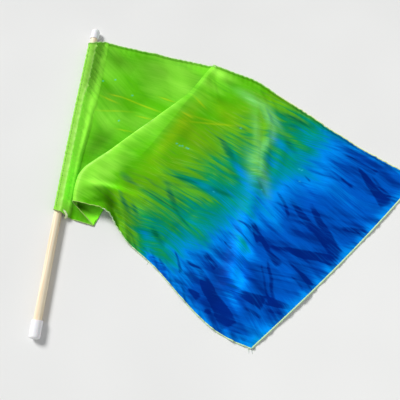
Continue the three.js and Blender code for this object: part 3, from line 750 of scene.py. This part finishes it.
# Materials
class Look:
    """A material and what makes its nodes."""

    def __init__(self, name):
        self.material = bpy.data.materials.new(name)
        self.material.use_nodes = True
        self.tree = self.material.node_tree
        self.inputs = self.tree.nodes["Principled BSDF"].inputs

    def put(self, value, socket):
        if isinstance(value, (int, float, tuple)):
            socket.default_value = value
        else:
            self.tree.links.new(value, socket)

    def node(self, kind, *values):
        """A node with these values in its first inputs."""
        node = self.tree.nodes.new("ShaderNode" + kind)
        for socket, value in zip(node.inputs, values):
            if value is not None:
                self.put(value, socket)
        return node

    def calc(self, operation, a, b, clamp=False):
        node = self.node("Math", a, b)
        node.operation = operation
        node.use_clamp = clamp
        return node.outputs[0]

    def plus(self, a, b):
        return self.calc("ADD", a, b)

    def less(self, a, b):
        return self.calc("SUBTRACT", a, b)

    def times(self, a, b):
        return self.calc("MULTIPLY", a, b)

    def at_most(self, a, b):
        return self.calc("MINIMUM", a, b)

    def rise(self, value, limit, slope):
        """0 up to a limit, then up to 1 at a slope."""
        return self.calc("MULTIPLY", self.plus(value, -limit), slope, True)

    def scaled(self, operation, vector, scale):
        node = self.node("VectorMath", vector)
        node.operation = operation
        self.put(scale, node.inputs["Scale"] if operation == "SCALE" else node.inputs[1])
        return node.outputs[0]

    def noise(self, place, scale, detail=3, roughness=0.55, dimensions="3D"):
        """Noise at a place, with its own scale each way."""
        node = self.tree.nodes.new("ShaderNodeTexNoise")
        node.noise_dimensions = dimensions
        self.put(self.scaled("MULTIPLY", place, scale), node.inputs["Vector"])
        node.inputs["Scale"].default_value = 1
        node.inputs["Detail"].default_value = detail
        node.inputs["Roughness"].default_value = roughness
        return node.outputs["Fac"]

    def cloth_noise(self, place, along, across, detail, roughness):
        return self.noise(place, (along, across, 1), detail, roughness, "2D")

    def solid_noise(self, scale, detail=3, roughness=0.55):
        """Noise in the object's own metres."""
        return self.noise(self.node("TexCoord").outputs["Object"], scale, detail, roughness)

    def uv(self, name):
        node = self.node("UVMap")
        node.uv_map = name
        return node.outputs[0]

    def attribute(self, name):
        node = self.node("Attribute")
        node.attribute_name = name
        return node.outputs["Fac"]

    def ramp(self, fac, stops):
        node = self.node("ValToRGB", fac)
        elements = node.color_ramp.elements
        while len(elements) < len(stops):
            elements.new(0.5)
        for element, (place, colour) in zip(elements, stops):
            element.position = place
            element.color = srgb(*colour)
        return node.outputs[0]

    def mixed(self, fac, a, b):
        return self.node("Mix", fac, None, a, b).outputs[0]

    def tinted(self, fac, colour, tint):
        node = self.node("Mix", fac)
        node.data_type = "RGBA"
        self.put(colour, node.inputs[6])
        self.put(srgb(*tint), node.inputs[7])
        return node.outputs[2]

    def bump(self, height, strength):
        node = self.node("Bump")
        node.inputs["Strength"].default_value = strength
        node.inputs["Distance"].default_value = BUMP_DEPTH
        self.put(height, node.inputs["Height"])
        self.put(node.outputs[0], self.inputs["Normal"])

    def done(self, colour, **values):
        """The finished material, with its colour and its uniform values."""
        self.put(colour, self.inputs["Base Color"])
        for name, value in values.items():
            self.inputs[name.replace("_", " ")].default_value = value
        return self.material


def srgb(r, g, b):
    """A colour as seen, 0 to 255, in the linear numbers that the shader takes."""
    linear = [c / 255 for c in (r, g, b)]
    return tuple(c / 12.92 if c <= 0.04045 else ((c + 0.055) / 1.055) ** 2.4 for c in linear) + (1,)


BUMP_DEPTH = 0.0003
# Colours as seen, 0 to 255. Those of the dye's run, at places on it, and those laid over it
SILK_COLOURS = (
    (0.0, (205, 255, 140)), (0.12, (147, 230, 68)), (0.26, (88, 186, 12)), (0.38, (104, 180, 14)),
    (0.48, (82, 170, 36)), (0.56, (20, 150, 72)), (0.64, (0, 142, 120)), (0.72, (0, 144, 178)),
    (0.8, (0, 138, 236)), (0.89, (0, 90, 194)), (1.0, (0, 52, 150)),
)
NAVY = (0, 29, 116)
TEAL_SHADE = (0, 104, 72)
PALE_HAIR = (180, 236, 90)
YELLOW = (190, 220, 20)
MINT_AND_SHEEN = (140, 235, 160)
CYAN_SPECK = (60, 220, 240)
# Noise in the silk: its scale along the streaks and across them, its detail and its roughness
BROAD = (0.55, 5, 2, 0.5)
FINE = (1.2, 19, 3, 0.6)
SIDE_FINE = (1.2, 15, 3, 0.6)
HAIR = (2, 44, 3, 0.6)
SIDE_HAIR = (2, 36, 3, 0.6)
CROSSING = (0.7, 6, 3, 0.55)
PATCHES = (1.3, 1.3, 1, 0.55)
WEAVE = (140, 140, 1, 0.55)
WEAVE_BUMP = 0.06
# How far the dye runs on along each kind of streak
RUN = Numbers(broad=0.36, fine=0.28, hair=0.2, less_in_blue=0.6)
# Where each layer of the dye starts to show in the noise, and how fast it rises
RISE = Numbers(
    patches=(0.45, 5), pale=(0.55, 5), past_green=(0.5, 7), dark_hair=(0.55, 5),
    feathers=(0.22, 2), soft_ink=(0.66, 5), ink=(0.27, 2.1), drops=(0, 1),
)
# How much of each layer shows, or how much at most
SHOWN = Numbers(
    pale=0.36, dark_hair=0.42, feathers=0.75, yellow=0.8, soft_ink=0.65, ink=0.92,
    dark=0.9, mint=0.75, drops=0.8,
)


def silk_material():
    look = Look("silk")
    plus, less, times, rise = look.plus, look.less, look.times, look.rise
    streaks, side, cloth = look.uv("streaks"), look.uv("side_streaks"), look.uv("cloth")
    streaky, blue = look.attribute("streaky"), look.attribute("blue")
    not_blue = less(1.0, blue)
    broad = look.cloth_noise(streaks, *BROAD)
    patches = rise(look.cloth_noise(cloth, *PATCHES), *RISE.patches)
    fine = look.mixed(patches, look.cloth_noise(streaks, *FINE), look.cloth_noise(side, *SIDE_FINE))
    hair = look.mixed(patches, look.cloth_noise(streaks, *HAIR), look.cloth_noise(side, *SIDE_HAIR))
    crossing = look.cloth_noise(side, *CROSSING)
    # Colour: the dye has run further along some streaks than others.
    run = plus(times(plus(broad, -0.5), RUN.broad), times(plus(fine, -0.5), RUN.fine))
    run = plus(run, times(plus(hair, -0.5), RUN.hair))
    run = times(run, less(1.0, times(blue, RUN.less_in_blue)))
    hue = plus(look.attribute("dye"), times(run, streaky))
    colour = look.ramp(hue, SILK_COLOURS)
    # Fine pale hairs in the greens, then dark ones with the feathers, which also carry painted shade on
    # the roll, then yellow ones
    pale = times(times(rise(hair, *RISE.pale), SHOWN.pale), streaky)
    pale = times(pale, less(1.0, rise(hue, *RISE.past_green)))
    colour = look.tinted(times(pale, not_blue), colour, PALE_HAIR)
    shade = times(times(rise(fine, *RISE.dark_hair), SHOWN.dark_hair), times(streaky, not_blue))
    feathers = times(look.attribute("shade"), plus(times(fine, 0.9), times(hair, 1.1)))
    feathers = times(rise(feathers, *RISE.feathers), SHOWN.feathers)
    colour = look.tinted(plus(shade, feathers), colour, TEAL_SHADE)
    yellow = times(look.attribute("yellow"), plus(times(hair, 1.2), 0.1))
    colour = look.tinted(look.at_most(yellow, SHOWN.yellow), colour, YELLOW)
    # Dark wedges, with soft feathers between them in the blue
    soft = plus(plus(times(broad, 0.55), times(crossing, 0.6)), times(fine, 0.25))
    soft = times(times(rise(soft, *RISE.soft_ink), blue), SHOWN.soft_ink)
    inked = times(look.attribute("ink"), plus(plus(times(fine, 0.8), times(hair, 0.5)), 0.27))
    inked = times(rise(inked, *RISE.ink), SHOWN.ink)
    colour = look.tinted(look.at_most(plus(inked, soft), SHOWN.dark), colour, NAVY)
    # Pale green places, pale dye with a painted sheen, and a few drops
    minted = times(look.attribute("mint"), plus(times(hair, 1.5), 0.1))
    colour = look.tinted(look.at_most(minted, SHOWN.mint), colour, MINT_AND_SHEEN)
    drops = rise(look.attribute("drops"), *RISE.drops)
    colour = look.tinted(times(drops, SHOWN.drops), colour, CYAN_SPECK)
    look.bump(look.cloth_noise(cloth, *WEAVE), WEAVE_BUMP)
    # The colour is scaled by the tone, which carries painted light and painted shade.
    return look.done(
        look.scaled("SCALE", colour, look.attribute("tone")),
        Roughness=0.5, Specular_IOR_Level=0.012, Sheen_Weight=0.005, Sheen_Roughness=0.4,
    )


def thread_material(name, light, dark):
    look = Look(name)
    colour = look.ramp(look.solid_noise((900, 900, 900), 2), ((0.35, dark), (0.6, light)))
    return look.done(colour, Roughness=0.75, Sheen_Weight=0.2)


def wood_material():
    look = Look("wood")
    grain = look.solid_noise((420, 9, 420), 4, 0.6)
    colour = look.ramp(grain, (
        (0.3, (238, 204, 160)),
        (0.5, (254, 238, 206)),
        (0.7, (255, 247, 226)),
    ))
    streak = look.rise(look.solid_noise((150, 3, 150), 1), 0.56, 4)
    colour = look.tinted(look.times(streak, 0.7), colour, (214, 152, 96))
    look.bump(grain, 0.15)
    return look.done(colour, Roughness=0.5)


def cap_material():
    look = Look("cap_plastic")
    cloud = look.solid_noise((40, 40, 40))
    colour = look.ramp(cloud, ((0.35, (252, 249, 252)), (0.65, (255, 254, 255))))
    scuff = look.rise(look.solid_noise((260, 120, 260), 3, 0.7), 0.66, 5)
    colour = look.tinted(look.times(scuff, 0.6), colour, (196, 176, 160))
    return look.done(colour, Roughness=0.38, Subsurface_Weight=0.08, Subsurface_Scale=0.004)


def floor_material():
    look = Look("floor")
    cloud = look.solid_noise((3, 3, 3), 2)
    colour = look.ramp(cloud, ((0.3, (230, 230, 228)), (0.7, (236, 236, 234))))
    return look.done(colour, Roughness=0.75)


def dressed(thing, material):
    """A finished piece of the part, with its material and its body."""
    thing.data.materials.append(material)
    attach(thing, "root")
    return thing


dressed(flag, silk_material())
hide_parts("flag")


# Rolled hems: a cord of cloth along each free edge, wound with sewing thread
# The end of the hem that curls out under the sleeve
SLEEVE_CURL = (
    (1, 220.5, 13), (6, 219, 12.5), (10.5, 216, 11.5), (13.5, 212, 9.5), (12.5, 208, 7), (9.5, 206, 4.5),
)
HEM_SIDES = 8
THREAD_PITCH = 3
THREAD_RISE = 0.16


def tube(path, radii, sides):
    """Points and faces of a round tube along a path, with a radius at each place."""
    path = np.asarray(path, float)
    way = np.gradient(path, axis=0)
    way /= np.linalg.norm(way, axis=1, keepdims=True)
    out = np.cross(way, (0, 0, 1))
    out /= np.maximum(np.linalg.norm(out, axis=1, keepdims=True), 1e-6)
    up = np.cross(out, way)
    turn = share(sides) * 2 * np.pi
    ring = out[:, None, :] * np.cos(turn)[None, :, None] + up[:, None, :] * np.sin(turn)[None, :, None]
    points = path[:, None, :] + ring * np.asarray(radii, float)[:, None, None]
    faces = grid_faces(len(path), sides, closed=True)
    faces.append(tuple(range(sides))[::-1])
    faces.append(tuple((len(path) - 1) * sides + i for i in range(sides)))
    return points.reshape(-1, 3), faces


def evenly(path, step):
    """The same path in steps of one length."""
    path = np.asarray(path, float)
    gone = np.concatenate([[0], np.linalg.norm(np.diff(path, axis=0), axis=1).cumsum()])
    keep = np.concatenate([[True], np.diff(gone) > 1e-6])
    places = np.linspace(0, gone[-1], max(2, int(gone[-1] / step) + 1))
    return np.column_stack([np.interp(places, gone[keep], path[keep, i]) for i in range(3)]), places


def hem(name, edge, radius, material):
    path, gone = evenly(edge, 1.0)
    path[:, 2] = np.maximum(path[:, 2], radius)
    wound = np.abs(np.sin(np.pi * gone / THREAD_PITCH))
    wobble = 1 + 0.07 * ripple(gone, 4, 19)
    ends = np.clip(np.minimum(gone, gone[-1] - gone) / 2, 0.35, 1)
    points, faces = tube(path, radius * (1 - THREAD_RISE + THREAD_RISE * wound) * wobble * ends, HEM_SIDES)
    thing = mesh_object(name, to_frame(points), faces)
    attribute(thing, "wound", np.repeat(wound, HEM_SIDES))
    return dressed(thing, material)


def hem_material(name, light, dark):
    look = Look(name)
    # Darker between the thread's wraps: painted shade in the grooves, with some random variation
    place = look.plus(look.times(look.attribute("wound"), 0.7), look.solid_noise((160, 160, 160), 2))
    return look.done(look.ramp(place, ((0.35, dark), (0.85, light))), Roughness=0.7, Sheen_Weight=0.15)


# Each hem's second colour is the painted shade between its thread's wraps
LIME_HEM = hem_material("hem_lime", (190, 240, 140), (112, 176, 70))
PALE_HEM = hem_material("hem_pale", (226, 244, 170), (150, 186, 104))
MINT_HEM = hem_material("hem_mint", (204, 234, 176), (104, 164, 132))
CREAM_HEM = hem_material("hem_cream", (236, 250, 196), (168, 208, 108))
OLIVE_HEM = hem_material("hem_olive", (168, 212, 96), (62, 108, 24))
# Columns of the cloth where one hem piece ends and the next starts
TOP_START = sleeve.stop - 12
TOP_SPLIT = over.start + int(0.35 * STEPS["over"])
BOTTOM_START = sleeve.stop - 14
BOTTOM_SPLIT = over.start + 30
hems = [hem(*piece) for piece in (
    ("hem_top_hoist", grid[-1, TOP_START:TOP_SPLIT + 1], HEM_RADIUS, LIME_HEM),
    ("hem_top_fly", grid[-1, TOP_SPLIT:], HEM_RADIUS, PALE_HEM),
    ("hem_fly", grid[:, -1], 1.4, MINT_HEM),
    ("hem_bottom", grid[0, BOTTOM_SPLIT:], HEM_RADIUS, MINT_HEM),
    ("hem_curl", SLEEVE_CURL, 2.2, CREAM_HEM),
    ("hem_bottom_hoist", grid[0, BOTTOM_START:BOTTOM_SPLIT + 1], 0.8, OLIVE_HEM),
)]


# The sleeve's row of stitches
STITCH = Numbers(length=2.3, radius=0.5, pitch=3.4, inset=6, off=0.15, arch=0.3, sunk=0.6, jitter=0.12)


def threads(name, pieces, material):
    """One piece of many short tubes of thread."""
    points, faces, first = [], [], 0
    for piece_points, piece_faces in pieces:
        points.append(piece_points)
        faces += [tuple(i + first for i in face) for face in piece_faces]
        first += len(piece_points)
    thing = mesh_object(name, to_frame(np.vstack(points)), faces)
    return dressed(thing, material)


def sleeve_stitches():
    column_at = np.argmin(np.abs(off_stitches[10:])) + 10
    outward = normals_of(grid)[:, column_at]
    line, gone = evenly(grid[:, column_at] + outward * STITCH.off, 0.5)
    pieces = []
    start = STITCH.inset
    while start + STITCH.length < gone[-1] - STITCH.inset:
        inside = (gone >= start) & (gone <= start + STITCH.length)
        path = line[inside].copy()
        bow = np.sin(np.linspace(0, np.pi, len(path)))
        path[:, 2] += (bow - STITCH.sunk) * STITCH.arch
        path[:, 0] += rng.normal(0, STITCH.jitter)
        pieces.append(tube(path, STITCH.radius * (0.55 + 0.45 * bow), 6))
        start += STITCH.pitch
    # Dark green thread, partly its own colour and partly painted shade of the stitch holes
    thread_and_hole_shade = thread_material("stitch_thread", (46, 130, 40), (14, 70, 20))
    return threads("sleeve_stitches", pieces, thread_and_hole_shade)


stitches = sleeve_stitches()


# Loose ends of thread: their foot, the way they lie, their length and how far they curl.
LOOSE_THREADS = (
    (349, 20, -95, 8, 2.5), (347, 21, -130, 6, -2), (351, 21, -70, 5, 1.5), (345, 22, -110, 9, 3),
    (353, 23, -50, 5, -1.5), (167, 147, -140, 8, 3), (168, 145, -160, 5, -2), (16, 214, -80, 7, 2.5),
)


def loose_threads():
    pieces = []
    for x, y, direction, length, curl in LOOSE_THREADS:
        turn = math.radians(direction)
        k = np.linspace(0, 1, 12)
        along = length * k
        aside = curl * k * k
        path = np.column_stack([
            x + along * math.cos(turn) - aside * math.sin(turn),
            y + along * math.sin(turn) + aside * math.cos(turn),
            0.9 - 0.5 * k,
        ])
        pieces.append(tube(path, 0.28 * (1 - 0.5 * k), 5))
    pale = thread_material("loose_thread", (190, 215, 150), (60, 130, 190))
    return threads("loose_threads", pieces, pale)


loose = loose_threads()


# Stick and caps, turned round the pole and bowed with it
POLE_SIDES = 48


def on_pole(profile, rough):
    """A turned piece from places along the pole with their radius. An end at radius 0 is closed."""
    turn = share(POLE_SIDES) * 2 * np.pi
    rings = []
    for along, radius in profile:
        radius = np.full(POLE_SIDES, float(max(radius, 0.01)))
        radius += rough * np.sin(3 * turn + along / 40) * (radius > 1)
        x = pole_axis_x(along) + radius * np.cos(turn)
        height = AXIS_HEIGHT + radius * np.sin(turn)
        rings.append(np.column_stack([x, np.full(POLE_SIDES, along), height]))
    points = np.vstack(rings)
    faces = [face[::-1] for face in grid_faces(len(profile), POLE_SIDES, closed=True)]
    return to_frame(points), faces


def quarter(centre_along, centre_radius, radius, start, end, steps):
    """Places on a quarter round, from one angle to another in degrees."""
    turn = np.radians(np.linspace(start, end, steps + 1))
    return [(centre_along + radius * math.sin(a), centre_radius + radius * math.cos(a)) for a in turn]


def pole_piece(name, profile, material, rough=0.0):
    points, faces = on_pole(profile, rough)
    thing = mesh_object(name, points, faces)
    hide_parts(name.replace("_piece", ""))
    return dressed(thing, material)


def dowel_profile():
    low = CAP_BOTTOM.floor + CAP_WALL_GAP
    high = POLE_TOP - CAP_TOP.floor - CAP_WALL_GAP
    straight = [(along, DOWEL_RADIUS) for along in np.linspace(low + 0.4, high - 0.4, 90)]
    return [(low, 0), (low, DOWEL_RADIUS - 0.4)] + straight + [(high, DOWEL_RADIUS - 0.4), (high, 0)]


def socket(cap, along):
    """The open end of a cap: its rim and the wall inside, down to the end of the stick."""
    inner = DOWEL_RADIUS + CAP_WALL_GAP
    rim = cap.length
    places = quarter(rim - 0.5, cap.radius - 0.5, 0.5, 0, 90, 4)
    places += [(rim, inner + 0.2), (rim - 0.2, inner), (cap.floor, inner), (cap.floor, 0)]
    return [(along(place), radius) for place, radius in places]


def cap_bottom_profile():
    corner, radius = CAP_BOTTOM.corner, CAP_BOTTOM.radius
    end = [(0, 0)] + quarter(corner, radius - corner, corner, -90, 0, 10)
    side = [(along, radius) for along in np.linspace(corner + 2, CAP_BOTTOM.length - 2, 8)]
    return end + side + socket(CAP_BOTTOM, lambda along: along)


def cap_top_profile():
    radius, dome = CAP_TOP.radius, CAP_TOP.dome
    turn = np.radians(np.linspace(0, 90, 13))
    end = [(dome * (1 - math.cos(a)), radius * math.sin(a)) for a in turn]
    side = [(along, radius) for along in np.linspace(dome + 2, CAP_TOP.length - 2, 6)]
    profile = [(POLE_TOP - along, r) for along, r in end + side]
    profile += socket(CAP_TOP, lambda along: POLE_TOP - along)
    return profile[::-1]


cap_plastic = cap_material()
dowel = pole_piece("dowel_piece", dowel_profile(), wood_material(), rough=0.06)
pole_piece("cap_bottom_piece", cap_bottom_profile(), cap_plastic)
pole_piece("cap_top_piece", cap_top_profile(), cap_plastic)

# Floor, light and camera
FLOOR_REACH = 12
corners = np.array([(-1, -1, 0), (1, -1, 0), (1, 1, 0), (-1, 1, 0)], float) * FLOOR_REACH
floor = mesh_object("floor", corners, [(0, 1, 2, 3)])
floor.data.materials.append(floor_material())


def light(name, kind, way, energy):
    data = bpy.data.lights.new(name, kind)
    data.energy = energy
    thing = placed(name, data)
    thing.rotation_euler = Vector(way).to_track_quat("-Z", "Y").to_euler()
    return thing


light("key", "SUN", (1, -0.8, -1.25), 2.9).data.angle = 0.35
fill = light("fill", "AREA", (-1.2, 1.0, -1.6), 8)
fill.location = (1.2, -1.0, 1.6)
fill.data.size = 1.6
world = bpy.data.worlds.new("studio")
world.use_nodes = True
world.node_tree.nodes["Background"].inputs[0].default_value = (0.95, 0.97, 1, 1)
world.node_tree.nodes["Background"].inputs[1].default_value = 0.28
bpy.context.scene.world = world
bpy.context.scene.view_settings.view_transform = "Standard"

CAMERA = Numbers(place=(272.03, -49.06, 867.86), elevation=70, turn=5.642, lens=46.8)
camera_data = bpy.data.cameras.new("camera")
camera_data.lens = CAMERA.lens
camera_data.sensor_width = 36
camera = placed("camera", camera_data)
camera.location = to_frame(CAMERA.place)
camera.rotation_euler = (math.radians(90 - CAMERA.elevation), 0, math.radians(CAMERA.turn))
bpy.context.scene.camera = camera
